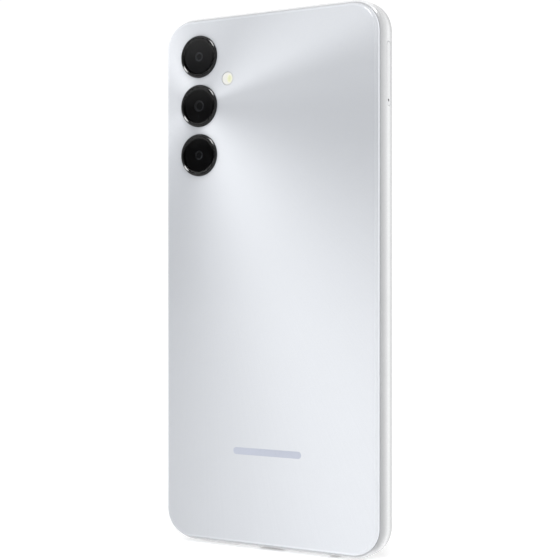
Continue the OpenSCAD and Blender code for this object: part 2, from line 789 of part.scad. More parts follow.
module speaker_box() {
    y0 = plate_y1;
    y1 = bracket_y1;
    color("black") {
        difference() {
            intersection() {
                block([speaker_x0, speaker_x1 + 0.4], [y0, y1], [wall_inset + 0.4, speaker_z1]);
                slab(wall_inset + 0.2, y0 - 1, y1 + 1);
            }
            intersection() {
                block([speaker_x0 + 0.7, speaker_x1 - 0.3], [y0 + 0.4, y1 - 0.5],
                    [wall_inset + 1.6, speaker_z1 - 0.7]);
                slab(wall_inset + 0.9, y0 - 1, y1 + 1);
            }
            block([12.6, 25.4], [port_y - 0.9, port_y + 0.9], [0, wall_inset + 2]);
        }
        // Seat round the driver
        difference() {
            plate_at(speaker_driver_at, driver_size[0] + 1.6, driver_size[1] + 1.6,
                driver_y0 + 0.2, driver_y1 + eps);
            plate_at(speaker_driver_at, driver_size[0], driver_size[1], driver_y0, driver_y1 + 1);
        }
    }
}

module speaker_driver() {
    at = speaker_driver_at;
    color("gray") difference() {
        plate_at(at, driver_size[0], driver_size[1], driver_y0, driver_y1);
        difference() {
            disc_at(at, 4, driver_y0 - 1, driver_y0 + 1.3);
            disc_at(at, 2.8, driver_y0 - 1, driver_y0 + 1.3);
        }
    }
}

module speaker_diaphragm() {
    at = speaker_driver_at;
    color("gainsboro") {
        plate_at(at, 14, 9.6, driver_y0 - 0.7, driver_y0 - 0.45);
        difference() {
            disc_at(at, 3.6, driver_y0 - 0.45 - eps, driver_y0 + 0.7);
            disc_at(at, 3.2, driver_y0 - 0.45 - 2 * eps, driver_y0 + 1);
        }
    }
}

module speaker_mesh() {
    color("dimgray") block([12.6, 25.4], [port_y - 0.9, port_y + 0.9], [wall_inset + 0.05, wall_inset + 0.3]);
}

module lower_bracket() {
    color("dimgray") difference() {
        intersection() {
            block([-side_x, speaker_x0 - 0.2], [bracket_y0, bracket_y1], [0, 26.3]);
            slab(wall_inset + 0.15, bracket_y0 - 1, bracket_y1 + 1);
        }
        for (p = lower_posts) {
            disc_at(p, post_bore_r, bracket_y0 - 1, bracket_y1 + 1);
            disc_at(p, screw_head_r + 0.15, screw_head_y0, bracket_y1 + 1);
        }
        plate_at([-2.5, 23.6], 8, 6, bracket_y0 - 1, bracket_y1 + 1);
    }
}

module vibration_can() {
    y0 = plate_y1;
    color("silver") {
        difference() {
            disc_at(motor_at, 4, y0, y0 + 2.7);
            disc_at(motor_at, 3.75, y0 + 0.25, y0 + 2.45);
        }
        disc_at(motor_at, 0.35, y0 + 0.2, y0 + 2.5);
    }
}

module vibration_rotor() {
    y0 = plate_y1 + 0.5;
    color("darkgoldenrod") difference() {
        union() {
            disc_at(motor_at, 3.4, y0, y0 + 0.4);
            disc_at(motor_at, 1.1, y0, y0 + 1.7);
            // Heavy half, which hangs below the shaft
            intersection() {
                disc_at(motor_at, 3.5, y0, y0 + 1.7);
                plate_at([motor_at[0], motor_at[1] - 2.5], 8, 4, y0 - 1, y0 + 3);
            }
        }
        disc_at(motor_at, 0.4, y0 - 1, y0 + 3);
    }
}

// ---- Keys ----

module key_bar(z, l, rise) {
    side_slot(z - l / 2, z + l / 2, slot_y, key_w, key_in_x, side_x + rise);
}

module key_post(z) {
    block([key_post_x, key_in_x + eps], [key_post_y - 0.4, key_post_y + 0.4], [z - 0.8, z + 0.8]);
}

module volume_key() {
    color("whitesmoke") {
        key_bar(volume_z, volume_l, key_rise);
        for (s = [-1, 1]) key_post(volume_z + s * volume_post_z);
    }
}

module power_key() {
    color("whitesmoke") {
        difference() {
            key_bar(power_z, power_l, key_rise - 0.1);
            side_slot(power_z - power_l / 2 + 0.4, power_z + power_l / 2 - 0.4, slot_y, key_w - 0.6,
                side_x + key_rise - 0.3, side_x + 1);
        }
        key_post(power_z);
    }
}

module fingerprint_sensor() {
    color("lightsteelblue") side_slot(power_z - power_l / 2 + 0.45, power_z + power_l / 2 - 0.45, slot_y,
        key_w - 0.7, side_x + key_rise - 0.3, side_x + key_rise - 0.12);
}

module switch_domes() {
    color("silver") for (z = [volume_z - volume_post_z, volume_z + volume_post_z, power_z])
        translate([key_flex_x, key_post_y, z]) rotate([0, 90, 0]) cylinder(r1 = 0.9, r2 = 0.4, h = dome_t);
}

module side_key_flex() {
    x0 = key_flex_x - 0.3;
    color("darkorange") block([x0, key_flex_x], [plate_y1, key_post_y + 1],
        [power_z - 4, volume_z + volume_post_z + 4]);
}

// ---- Screws ----

module screw(at) {
    difference() {
        union() {
            disc_at(at, screw_head_r, screw_head_y0, bracket_y1 - 0.03);
            disc_at(at, screw_r, screw_head_y0 - 2.8, screw_head_y0 + eps);
        }
        plate_at(at, 1.4, 0.3, bracket_y1 - 0.25, bracket_y1 + 1);
        plate_at(at, 0.3, 1.4, bracket_y1 - 0.25, bracket_y1 + 1);
    }
}

module screws() {
    color("silver") for (p = concat(upper_posts, lower_posts)) screw(p);
}

side_frame();
mid_plate();
cover_glass();
display_adhesive();
lcd_cell();
backlight_unit();
display_flex();
front_camera();
earpiece_grille();
receiver_body();
receiver_diaphragm();
light_sensor();
back_cover();
back_cover_adhesive();
camera_ring(camera_at[0]);  // camera_ring_upper
camera_ring(camera_at[1]);  // camera_ring_middle
camera_ring(camera_at[2]);  // camera_ring_lower
lens_glass(camera_at[0]);  // lens_glass_upper
lens_glass(camera_at[1]);  // lens_glass_middle
lens_glass(camera_at[2]);  // lens_glass_lower
main_camera_housing();
main_camera_barrel();
small_camera(camera_at[0]);  // upper_camera_module
small_camera(camera_at[2]);  // lower_camera_module
flash_lens();
flash_led();
main_board();
main_board_chips();
shield_cans();
board_connectors();
upper_bracket();
sim_socket();
sim_tray();
eject_rod();
eject_lever();
eject_slide();
battery();
battery_adhesive();
battery_flex();
main_flex();
coax_cable();
sub_board();
usb_shell();
usb_tongue();
headphone_jack();
jack_contacts();
microphones();
speaker_box();
speaker_driver();
speaker_diaphragm();
speaker_mesh();
lower_bracket();
vibration_can();
vibration_rotor();
volume_key();
power_key();
fingerprint_sensor();
switch_domes();
side_key_flex();
screws();
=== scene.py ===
import json
import math

import bmesh
import bpy
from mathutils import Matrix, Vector


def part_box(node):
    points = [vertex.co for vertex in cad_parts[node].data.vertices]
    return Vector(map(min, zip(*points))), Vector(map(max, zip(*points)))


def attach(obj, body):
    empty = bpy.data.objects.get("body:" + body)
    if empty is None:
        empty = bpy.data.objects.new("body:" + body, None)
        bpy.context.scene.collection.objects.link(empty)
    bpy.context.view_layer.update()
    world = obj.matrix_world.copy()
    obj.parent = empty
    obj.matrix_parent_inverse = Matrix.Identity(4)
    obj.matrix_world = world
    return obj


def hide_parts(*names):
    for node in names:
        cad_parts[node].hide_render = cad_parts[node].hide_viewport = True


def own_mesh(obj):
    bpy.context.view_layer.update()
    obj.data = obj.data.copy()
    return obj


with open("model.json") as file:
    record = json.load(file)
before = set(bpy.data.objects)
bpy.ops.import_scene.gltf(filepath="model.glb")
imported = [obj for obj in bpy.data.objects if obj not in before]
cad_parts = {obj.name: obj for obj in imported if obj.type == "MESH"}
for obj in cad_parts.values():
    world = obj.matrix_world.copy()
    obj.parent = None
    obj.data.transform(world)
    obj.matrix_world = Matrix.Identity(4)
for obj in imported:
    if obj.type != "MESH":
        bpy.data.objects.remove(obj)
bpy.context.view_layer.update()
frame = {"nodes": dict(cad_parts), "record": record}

MM = 0.001
nodes = frame["nodes"]

# ---------------------------------------------------------------- camera, floor and light

TURN = math.radians(30.15)  # from straight behind the phone, towards its card tray
DISTANCE = 0.403
SIDE_STEP = 0.0019  # the phone stands this far off the picture's middle
EYE_HEIGHT = 0.08375
camera_data = bpy.data.cameras.new("camera")
camera = bpy.data.objects.new("camera", camera_data)
bpy.context.scene.collection.objects.link(camera)
bpy.context.scene.camera = camera
camera.location = (
    -DISTANCE * math.sin(TURN) - SIDE_STEP * math.cos(TURN),
    DISTANCE * math.cos(TURN) - SIDE_STEP * math.sin(TURN),
    EYE_HEIGHT,
)
camera.rotation_euler = (math.radians(90), 0, math.radians(180) + TURN)
camera_data.lens = 82.86
camera_data.sensor_width = 36
camera_data.clip_start = 0.01


def area_light(name, place, target, size, power, colour=(1, 1, 1)):
    data = bpy.data.lights.new(name, "AREA")
    data.size = size
    data.energy = power
    data.color = colour
    lamp = bpy.data.objects.new(name, data)
    lamp.location = place
    lamp.rotation_euler = (Vector(target) - Vector(place)).to_track_quat("-Z", "Y").to_euler()
    bpy.context.scene.collection.objects.link(lamp)
    return lamp


area_light("top_softbox", (-0.31, 0.42, 0.93), (0, 0, 0.1), 0.3, 2.0)
# A bright card that only gloss sees, for the highlights on the camera rings
card = area_light("highlight_card", (-0.36, 0.34, 1.0), (0, 0, 0.14), 0.46, 13)
card.visible_diffuse = False
area_light("side_softbox", (-0.95, -0.1, 0.35), (0, 0, 0.08), 0.6, 0.45)

BACKDROP = 1.05  # world strength that the camera sees
FILL = 0.78  # world strength that lights matt surfaces
world = bpy.data.worlds.new("studio")
bpy.context.scene.world = world
world.use_nodes = True
wn, wl = world.node_tree.nodes, world.node_tree.links
wn.clear()


def world_map(value, lo, hi, to_lo, to_hi):
    n = wn.new("ShaderNodeMapRange")
    n.interpolation_type = "SMOOTHSTEP"
    wl.new(value, n.inputs["Value"])
    for key, v in (("From Min", lo), ("From Max", hi), ("To Min", to_lo), ("To Max", to_hi)):
        n.inputs[key].default_value = v
    return n.outputs["Result"]


def world_dot(direction):
    n = wn.new("ShaderNodeVectorMath")
    n.operation = "DOT_PRODUCT"
    n.inputs[1].default_value = Vector(direction).normalized()
    wl.new(w_coord.outputs["Generated"], n.inputs[0])
    return n.outputs["Value"]


def world_light(strength):
    n = wn.new("ShaderNodeBackground")
    n.inputs["Color"].default_value = (1, 1, 1, 1)
    if isinstance(strength, float):
        n.inputs["Strength"].default_value = strength
    else:
        wl.new(strength, n.inputs["Strength"])
    return n.outputs[0]


def world_mix(fac, first, second):
    n = wn.new("ShaderNodeMixShader")
    for i, v in enumerate((fac, first, second)):
        wl.new(v, n.inputs[i])
    return n.outputs[0]


w_coord = wn.new("ShaderNodeTexCoord")
w_path = wn.new("ShaderNodeLightPath")
w_split = wn.new("ShaderNodeSeparateXYZ")
wl.new(w_coord.outputs["Generated"], w_split.inputs[0])
# Soft white all round. Gloss sees a dark wall behind the phone and a dark one before the screen.
behind = world_map(world_dot((math.sin(TURN), math.cos(TURN), -0.12)), 0.40, 0.985, 0.85, 0.05)
sky = world_map(w_split.outputs["Z"], 0.09, 0.32, 0.0, 1.0)
peak = wn.new("ShaderNodeMath")
peak.operation = "MAXIMUM"
wl.new(behind, peak.inputs[0])
wl.new(sky, peak.inputs[1])
before = world_light(world_map(w_split.outputs["Z"], -0.01, 0.45, 1.15, 0.05))
facing = world_map(world_dot((0, -1, 0)), 0.80, 0.97, 0.0, 1.0)
gloss = world_mix(facing, world_light(peak.outputs[0]), before)
studio = world_mix(w_path.outputs["Is Glossy Ray"], world_light(FILL), gloss)
seen = world_mix(w_path.outputs["Is Camera Ray"], studio, world_light(BACKDROP))
w_out = wn.new("ShaderNodeOutputWorld")
wl.new(seen, w_out.inputs["Surface"])
bpy.context.scene.view_settings.view_transform = "Standard"

# ---------------------------------------------------------------- node material helpers


class Mat:
    """A procedural material: a Principled shader and short calls that add nodes to it."""

    def __init__(self, name):
        self.m = bpy.data.materials.new(name)
        self.m.use_nodes = True
        self.t = self.m.node_tree
        self.p = self.t.nodes["Principled BSDF"]
        self.coord = self.t.nodes.new("ShaderNodeTexCoord").outputs["Object"]

    def set(self, **values):
        for key, value in values.items():
            socket = self.p.inputs[key.replace("_", " ")]
            socket.default_value = (*value, 1) if isinstance(value, tuple) else value
        return self

    def node(self, kind, **settings):
        n = self.t.nodes.new("ShaderNode" + kind)
        for key, value in settings.items():
            setattr(n, key, value)
        return n

    def link(self, out, into):
        self.t.links.new(out, into)

    def math(self, op, a, b=None, clamp=False):
        n = self.node("Math", operation=op, use_clamp=clamp)
        for i, v in enumerate((a, b)):
            if v is None:
                continue
            if isinstance(v, (int, float)):
                n.inputs[i].default_value = v
            else:
                self.link(v, n.inputs[i])
        return n.outputs[0]

    def length(self, u, v):
        squares = self.math("ADD", self.math("MULTIPLY", u, u), self.math("MULTIPLY", v, v))
        return self.math("SQRT", squares)

    def scale(self, colour, factor):
        n = self.node("VectorMath", operation="SCALE")
        self.link(colour, n.inputs[0])
        self.link(factor, n.inputs["Scale"])
        return n.outputs[0]

    def xyz(self):
        n = self.node("SeparateXYZ")
        self.link(self.coord, n.inputs[0])
        return n.outputs

    def noise(self, scale, detail=3.0, rough=0.5, stretch=(1, 1, 1)):
        mapping = self.node("Mapping")
        mapping.inputs["Scale"].default_value = stretch
        self.link(self.coord, mapping.inputs["Vector"])
        n = self.node("TexNoise")
        n.inputs["Scale"].default_value = scale
        n.inputs["Detail"].default_value = detail
        n.inputs["Roughness"].default_value = rough
        self.link(mapping.outputs[0], n.inputs["Vector"])
        return n.outputs["Fac"]

    def ramp(self, fac, stops, mode="LINEAR"):
        n = self.node("ValToRGB")
        n.color_ramp.interpolation = mode
        e = n.color_ramp.elements
        for i, (pos, col) in enumerate(stops):
            el = e[i] if i < 2 else e.new(pos)
            el.position = pos
            el.color = (*col, 1) if isinstance(col, tuple) else (col, col, col, 1)
        self.link(fac, n.inputs["Fac"])
        return n.outputs["Color"]

    def mix(self, fac, a, b, mode="MIX"):
        n = self.node("Mix", data_type="RGBA", blend_type=mode)
        for socket, v in ((n.inputs[0], fac), (n.inputs[6], a), (n.inputs[7], b)):
            if isinstance(v, (int, float)):
                socket.default_value = v
            elif isinstance(v, tuple):
                socket.default_value = (*v, 1)
            else:
                self.link(v, socket)
        return n.outputs[2]

    def map(self, value, lo, hi, to_lo, to_hi, smooth=False):
        n = self.node("MapRange")
        n.interpolation_type = "SMOOTHSTEP" if smooth else "LINEAR"
        self.link(value, n.inputs["Value"])
        for key, v in (("From Min", lo), ("From Max", hi), ("To Min", to_lo), ("To Max", to_hi)):
            n.inputs[key].default_value = v
        return n.outputs["Result"]

    def colour(self, out):
        self.link(out, self.p.inputs["Base Color"])
        return self

    def rough(self, value, lo, hi):
        self.link(self.map(value, 0.3, 0.7, lo, hi), self.p.inputs["Roughness"])
        return self

    def bump(self, height, strength, distance):
        n = self.node("Bump")
        n.inputs["Strength"].default_value = strength
        n.inputs["Distance"].default_value = distance
        self.link(height, n.inputs["Height"])
        self.link(n.outputs[0], self.p.inputs["Normal"])
        return self


def srgb(*levels):
    """Linear colour from 8-bit display levels."""
    parts = [v / 255 for v in levels]
    return tuple(v / 12.92 if v <= 0.04045 else ((v + 0.055) / 1.055) ** 2.4 for v in parts)


def tinted(value):
    """A cool silver whose channels average to that 8-bit value."""
    return srgb(value - 3.7, value - 0.7, value + 4.3)


def middle_of(node):
    low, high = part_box(node)
    return (Vector(low) + Vector(high)) / 2


def speckled(
    name, colour, vary, scale, roughness, metallic=0.0, bump=0.0, coat=0.0, spec=0.5, stretch=(1, 1, 1)
):
    """Colour, roughness and relief that all vary with a fine grain."""
    m = Mat(name).set(Metallic=metallic, Specular_IOR_Level=spec, Coat_Weight=coat, Coat_Roughness=0.05)
    grain = m.noise(scale, 4, 0.6, stretch)
    broad = m.noise(scale * 0.04, 3, 0.5, stretch)
    dark = tuple(c * (1 - vary) for c in colour)
    light = tuple(min(1, c * (1 + vary)) for c in colour)
    both = m.math("MULTIPLY", m.math("ADD", grain, broad), 0.5)
    m.colour(m.mix(m.map(both, 0.35, 0.65, 0, 1), dark, light))
    m.rough(grain, roughness * 0.85, roughness * 1.15)
    if bump:
        m.bump(grain, 0.5, bump)
    return m.m


# ---------------------------------------------------------------- materials

HOLE = next(m for m in frame["record"]["mounts"] if m["name"] == "eject_pin_hole")["pos_m"]
TRAY_HALF = 1.2 * MM  # half the width of the card tray's face
SEAM_GAP = 0.1 * MM  # between the side frame and the back cover
COVER_CORNER = 8.8 * MM
FAN = middle_of("camera_ring_middle")  # the point that the back's sheen fans out from


def outline_distance(m, u, v, low, high, radius):
    """Distance outside a rounded rectangle from low to high, negative inside it."""
    past = []
    for value, a, b in ((u, low[0], high[0]), (v, low[1], high[1])):
        from_middle = m.math("ABSOLUTE", m.math("SUBTRACT", value, (a + b) / 2))
        past.append(m.math("MAXIMUM", m.math("SUBTRACT", from_middle, (b - a) / 2 - radius), 0.0))
    return m.math("SUBTRACT", m.length(*past), radius)


def tray_outline(m, y, z):
    """Distance outside the card tray's round-ended face."""
    low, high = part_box("sim_tray")
    slot_y = HOLE[1] - 0.1 * MM  # the hole is a little behind the face's middle
    return outline_distance(
        m, y, z, (slot_y - TRAY_HALF, low.z), (slot_y + TRAY_HALF, high.z), TRAY_HALF - 0.01 * MM
    )


def back_silver():
    """A silver film under a clear cover, with a painted reflection that fans out round the middle camera
    in place of the real reflection off its brushing.
    """
    m = Mat("back_silver").set(Specular_IOR_Level=0.4, Coat_Weight=0.15, Coat_Roughness=0.06)
    x, y, z = m.xyz()
    dx = m.math("SUBTRACT", FAN.x, x)
    dz = m.math("SUBTRACT", z, FAN.z)
    angle = m.math("ARCTAN2", dz, dx)
    turn = m.map(angle, -math.pi, math.pi, 0, 1)
    # Painted sheen in 8-bit levels at each angle in degrees
    fans = [
        (-180, 224), (-155, 231), (-105, 205), (-62, 243), (-5, 204), (8, 208), (24, 232), (60, 214),
        (88, 222), (122, 244), (160, 222), (180, 224),
    ]
    painted_sheen = m.ramp(turn, [((a + 180) / 360, tinted(v)) for a, v in fans], "EASE")
    # The painted sheen dims further from the middle camera
    painted_sheen_fade = m.map(m.length(dx, dz), 0.012, 0.06, 0.945, 0.885, smooth=True)
    # Fine radial lines, as if brushed out from the middle camera, and metallic flake
    spokes = m.node("TexNoise", noise_dimensions="1D")
    spokes.inputs["Scale"].default_value = 1.0
    spokes.inputs["Detail"].default_value = 4
    m.link(m.math("MULTIPLY", angle, 160.0), spokes.inputs["W"])
    flake = m.noise(16000, 2, 0.6)
    lines = m.map(spokes.outputs["Fac"], 0.3, 0.7, 0.993, 1.007)
    glint = m.map(flake, 0.3, 0.7, 0.99, 1.01)
    # Painted light on the shoulder: a painted shade darkens it, and a painted highlight line runs inside
    # the rounded edge.
    # On the card tray's side there is no line, and a painted white highlight stands on the rim at the
    # seam instead.
    low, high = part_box("back_cover")
    rise = m.map(y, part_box("side_frame")[1].y + SEAM_GAP, high.y, 0, 1)
    side = m.map(x, low.x + 1.5 * MM, low.x + 8 * MM, 1, 0, smooth=True)
    painted_light_elsewhere = m.ramp(rise, [(0, 0.92), (0.80, 0.93), (0.97, 0.97), (1, 1.0)])
    inward = outline_distance(m, x, z, (low.x, low.z), (high.x, high.z), COVER_CORNER)
    painted_highlight_line = m.ramp(
        m.map(inward, -1.6 * MM, 0, 0, 1),
        [(0, 1.0), (0.28, 1.0), (0.42, 1.09), (0.56, 1.09), (0.70, 1.0), (1, 1.0)],
    )
    painted_light_elsewhere = m.math("MULTIPLY", painted_light_elsewhere, painted_highlight_line)
    painted_light_by_tray = m.ramp(rise, [(0, 0.93), (0.85, 0.93), (0.98, 0.97), (1, 1.0)])
    edge = m.mix(side, painted_light_elsewhere, painted_light_by_tray)
    # Painted highlight: near-white on the lowest part of the shoulder, on the card tray's side only
    rim = m.math("MULTIPLY", side, m.ramp(rise, [(0, 1.0), (0.22, 1.0), (0.40, 0.0), (1, 0.0)]))
    level = m.math("MULTIPLY", m.math("MULTIPLY", painted_sheen_fade, edge), m.math("MULTIPLY", lines, glint))
    m.colour(m.mix(rim, m.scale(painted_sheen, level), tinted(250)))
    m.rough(flake, 0.22, 0.30)
    return m.m


def frame_white():
    """Glossy moulded plastic with painted shade: greyer towards the seam with the back cover and round
    the card tray, and lighter towards the top.
    """
    m = Mat("frame_white").set(Specular_IOR_Level=0.5, Coat_Weight=0.6, Coat_Roughness=0.05)
    x, y, z = m.xyz()
    low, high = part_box("side_frame")
    depth = m.map(y, high.y - 6.7 * MM, high.y, 0, 1)
    mottled = m.map(m.noise(900, 4, 0.6), 0.3, 0.7, 0.985, 1.0)
    # Painted shade: on the card tray's side the grey comes on slowly up to a painted highlight band,
    # then darkens again towards the front. Elsewhere it is a thin line at the seam.
    painted_light_by_tray = m.ramp(
        depth,
        [(0, srgb(186, 187, 188)), (0.20, srgb(196, 197, 198)), (0.29, srgb(210, 211, 212)),
         (0.40, srgb(228, 229, 230)), (0.55, srgb(225, 226, 227)), (0.70, srgb(209, 210, 211)),
         (0.85, srgb(190, 191, 192)), (1, srgb(170, 171, 173))],
    )
    painted_light_elsewhere = m.ramp(
        depth,
        [(0, srgb(186, 187, 188)), (0.20, srgb(196, 197, 198)), (0.29, srgb(210, 211, 212)),
         (0.40, srgb(230, 231, 232)), (0.972, srgb(230, 231, 232)), (0.988, srgb(198, 199, 201)),
         (1, srgb(190, 191, 193))],
    )
    side = m.map(x, low.x + 1.5 * MM, low.x + 6 * MM, 1, 0, smooth=True)
    # Painted light: lighter towards the top
    painted_top_light = m.map(z, low.z, high.z, 0.95, 1.09)
    near = m.map(x, low.x + 1 * MM, low.x + 2 * MM, 1, 0)
    # Painted shade round the card tray's slot, on the frame beside it
    painted_slot_shade = m.map(tray_outline(m, y, z), 0.05 * MM, 0.35 * MM, 0.17, 0, smooth=True)
    slot_shade_factor = m.math("SUBTRACT", 1.0, m.math("MULTIPLY", near, painted_slot_shade))
    level = m.math("MULTIPLY", m.math("MULTIPLY", mottled, painted_top_light), slot_shade_factor)
    m.colour(m.scale(m.mix(side, painted_light_elsewhere, painted_light_by_tray), level))
    grain = m.noise(5200, 3, 0.5)
    m.rough(grain, 0.20, 0.30)
    m.bump(grain, 0.15, 0.000004)
    return m.m


def tray_plastic():
    """The frame's plastic, with the shade of the slot on the face's edge."""
    m = Mat("tray_white").set(Specular_IOR_Level=0.5, Coat_Weight=0.3, Coat_Roughness=0.05)
    _, y, z = m.xyz()
    grain = m.noise(5200, 4, 0.6)
    shaded = m.map(tray_outline(m, y, z), -0.32 * MM, -0.02 * MM, 0, 1, smooth=True)
    light = m.mix(m.map(grain, 0.35, 0.65, 0, 1), srgb(226, 227, 228), srgb(231, 232, 233))
    m.colour(m.mix(shaded, light, srgb(206, 207, 209)))
    m.rough(grain, 0.26, 0.34)
    m.bump(grain, 0.5, 0.000003)
    return m.m


silver = back_silver()
white = frame_white()
white_plain = speckled("key_white", srgb(224, 225, 226), 0.01, 5200, 0.24, coat=0.5, bump=0.000003)
ring_black = speckled("ring_black", (0.0022, 0.0022, 0.0026), 0.25, 7000, 0.14, spec=0.32)
mask_black = speckled("mask_black", (0.0025, 0.0025, 0.0028), 0.2, 6000, 0.45, spec=0.1)
aluminium = speckled("cast_aluminium", (0.50, 0.51, 0.53), 0.10, 3000, 0.45, metallic=0.9, bump=0.00002)
steel = speckled("stamped_steel", (0.58, 0.58, 0.60), 0.06, 1500, 0.30, metallic=1.0, stretch=(1, 1, 14))
dark_steel = speckled("dark_steel", (0.10, 0.10, 0.11), 0.15, 2500, 0.4, metallic=0.8)
bronze = speckled("spring_bronze", (0.62, 0.42, 0.20), 0.08, 2500, 0.3, metallic=1.0)
gold = speckled("gold_plate", (0.80, 0.58, 0.24), 0.06, 2500, 0.22, metallic=1.0)
tungsten = speckled("tungsten", (0.20, 0.195, 0.19), 0.15, 2500, 0.5, metallic=0.8, bump=0.00001)
black_plastic = speckled("black_plastic", (0.012, 0.012, 0.013), 0.2, 3000, 0.45, bump=0.000008)
grey_plastic = speckled("grey_plastic", (0.045, 0.046, 0.05), 0.15, 3000, 0.5, bump=0.000008)
board_green = speckled("solder_mask", (0.015, 0.085, 0.045), 0.25, 1200, 0.35, coat=0.3, bump=0.00001)
chip_epoxy = speckled("chip_epoxy", (0.02, 0.02, 0.021), 0.15, 4000, 0.55, bump=0.000006)
flex_film = speckled("polyimide", (0.32, 0.13, 0.03), 0.12, 1500, 0.35, coat=0.2)
foam = speckled("foam_tape", (0.02, 0.02, 0.02), 0.25, 4000, 0.8, bump=0.00001)
tape = speckled("stretch_tape", (0.72, 0.72, 0.70), 0.04, 2000, 0.55)
pouch = speckled("battery_pouch", (0.035, 0.036, 0.038), 0.15, 700, 0.42, metallic=0.2, bump=0.00002)
membrane = speckled("thin_film", (0.42, 0.42, 0.43), 0.08, 2500, 0.35)
lcd = speckled("lcd_layers", (0.010, 0.011, 0.014), 0.2, 2500, 0.25, coat=0.5)
reflector = speckled("white_reflector", (0.82, 0.82, 0.82), 0.03, 1200, 0.5)
phosphor = speckled("led_phosphor", (0.86, 0.74, 0.28), 0.12, 9000, 0.5, bump=0.00001)
sensor_silver = speckled("sensor_silver", srgb(205, 207, 211), 0.02, 6000, 0.32, metallic=0.2, coat=0.4)
tray_white = tray_plastic()


def cover_glass_material():
    """Black-backed glass. The lit area is a shade lighter than its border and has a U-shaped notch."""
    m = Mat("front_glass").set(Specular_IOR_Level=0.5)
    x, _, z = m.xyz()
    low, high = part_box("lcd_cell")
    half, corner, blur = (high.x - low.x) / 2 - 0.6 * MM, 5.5 * MM, 0.06 * MM
    border = outline_distance(m, x, z, (-half, low.z + 3 * MM), (half, high.z - 0.8 * MM), corner)
    lit = m.map(border, -blur, blur, 1, 0)
    eye, notch_r = middle_of("front_camera"), 3.4 * MM
    dx = m.math("SUBTRACT", x, eye.x)
    dz = m.math("SUBTRACT", z, eye.z)
    from_eye = m.length(dx, m.math("MINIMUM", dz, 0))
    area = m.math("MULTIPLY", lit, m.map(from_eye, notch_r - blur, notch_r + blur, 0, 1))
    iris = m.ramp(
        m.map(m.length(dx, dz), 0, 2.2 * MM, 0, 1),
        [(0, (0.002, 0.002, 0.004)), (0.28, (0.008, 0.010, 0.022)), (0.42, (0.003, 0.003, 0.004)),
         (0.55, (0.020, 0.020, 0.022)), (0.70, (0.004, 0.004, 0.005)), (0.86, (0.012, 0.012, 0.013)),
         (1, (0.0035, 0.0035, 0.004))],
    )
    haze = m.map(m.noise(60, 3, 0.5), 0.3, 0.7, 0.9, 1.1)
    m.colour(m.scale(m.mix(area, iris, (0.0105, 0.0108, 0.0128)), haze))
    m.rough(m.noise(40, 4, 0.6), 0.03, 0.06)
    return m.m


front_glass = cover_glass_material()


def clear_glass(name, tint, rough):
    m = Mat(name).set(Transmission_Weight=1.0, IOR=1.45, Specular_IOR_Level=0.4)
    smear = m.noise(300, 3, 0.5)
    m.colour(m.mix(m.map(smear, 0.3, 0.7, 0, 1), tuple(c * 0.97 for c in tint), tint))
    m.rough(smear, rough * 0.8, rough * 1.2)
    return m.m


lens_glass = clear_glass("lens_glass", (0.55, 0.56, 0.58), 0.012)
flash_glass = clear_glass("flash_glass", (0.99, 0.985, 0.95), 0.05)

LOOKS = (
    (white, "side_frame"),
    (silver, "back_cover"),
    (front_glass, "cover_glass"),
    (tray_white, "sim_tray"),
    (white_plain, "volume_key power_key"),
    (sensor_silver, "fingerprint_sensor"),
    (aluminium, "mid_plate"),
    (foam, "display_adhesive back_cover_adhesive"),
    (lcd, "lcd_cell"),
    (reflector, "backlight_unit"),
    (flex_film, "display_flex main_flex battery_flex side_key_flex"),
    (black_plastic,
     "front_camera main_camera_housing main_camera_barrel upper_camera_module lower_camera_module "
     "coax_cable usb_tongue headphone_jack speaker_box"),
    (dark_steel, "earpiece_grille speaker_mesh"),
    (steel,
     "receiver_body shield_cans sim_socket eject_rod eject_slide usb_shell speaker_driver "
     "vibration_can screws"),
    (membrane, "receiver_diaphragm speaker_diaphragm"),
    (chip_epoxy, "light_sensor main_board_chips"),
    (phosphor, "flash_led"),
    (board_green, "main_board sub_board"),
    (grey_plastic, "board_connectors upper_bracket lower_bracket"),
    (bronze, "eject_lever switch_domes"),
    (pouch, "battery"),
    (tape, "battery_adhesive"),
    (gold, "jack_contacts microphones"),
    (tungsten, "vibration_rotor"),
    (ring_black, "camera_ring_upper camera_ring_middle camera_ring_lower"),
    (lens_glass, "lens_glass_upper lens_glass_middle lens_glass_lower"),
    (flash_glass, "flash_lens"),
)
for look, names in LOOKS:
    for name in names.split():
        data = nodes[name].data
        data.materials.clear()
        data.materials.append(look)

# ---------------------------------------------------------------- geometry helpers


def add_piece(name, mesh, look, body, *replaced):
    piece = bpy.data.objects.new(name, mesh)
    mesh.materials.append(look)
    bpy.context.scene.collection.objects.link(piece)
    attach(piece, body)
    if replaced:
        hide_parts(*replaced)
    return piece


def smooth(mesh, degrees=32):
    mesh.shade_smooth()
    mesh.set_sharp_from_angle(angle=math.radians(degrees))


def finish_mesh(name, bm, look, body, *replaced):
    bmesh.ops.recalc_face_normals(bm, faces=bm.faces)
    mesh = bpy.data.meshes.new(name)
    bm.to_mesh(mesh)
    bm.free()
    smooth(mesh)
    return add_piece(name, mesh, look, body, *replaced)


